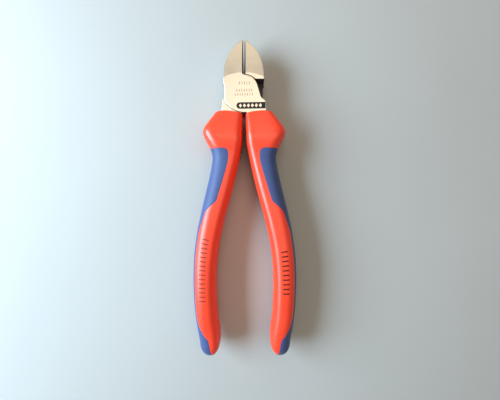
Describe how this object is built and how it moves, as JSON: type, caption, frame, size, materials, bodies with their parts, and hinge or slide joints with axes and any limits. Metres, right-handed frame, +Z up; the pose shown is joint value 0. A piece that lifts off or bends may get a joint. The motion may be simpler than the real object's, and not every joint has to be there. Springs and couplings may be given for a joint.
{
  "type": "diagonal cutting pliers",
  "caption": "Side cutters with pointed oval jaws, a flush riveted lap joint and flared handles with a hard glossy grip and a soft inlay.",
  "frame": {"origin": "middle of the footprint, on the surface that the grips rest on", "axes": "+Y towards the jaw tips, +X right and +Z up, with the front lever's lap plate on top"},
  "size_m": [0.0524, 0.16, 0.0192],
  "materials": {
    "forged_steel": "finely ground, black in the lap joint",
    "rivet_steel": "ground flush with the plates",
    "grip_hard": "smooth gloss",
    "grip_soft": "soft matte"
  },
  "bodies": {
    "front_half": {"front_lever": "forged_steel", "joint_rivet": "rivet_steel", "right_grip_shell": "grip_hard", "right_grip_inlay": "grip_soft"},
    "back_half": {"back_lever": "forged_steel", "left_grip_shell": "grip_hard", "left_grip_inlay": "grip_soft"}
  },
  "joints": [
    {"name": "jaw_pivot", "type": "hinge", "parent": "front_half", "child": "back_half", "pos_m": [0, 0.053, 0.0096], "axis": [0, 0, -1], "range_deg": [-1.4, 42]}
  ]
}
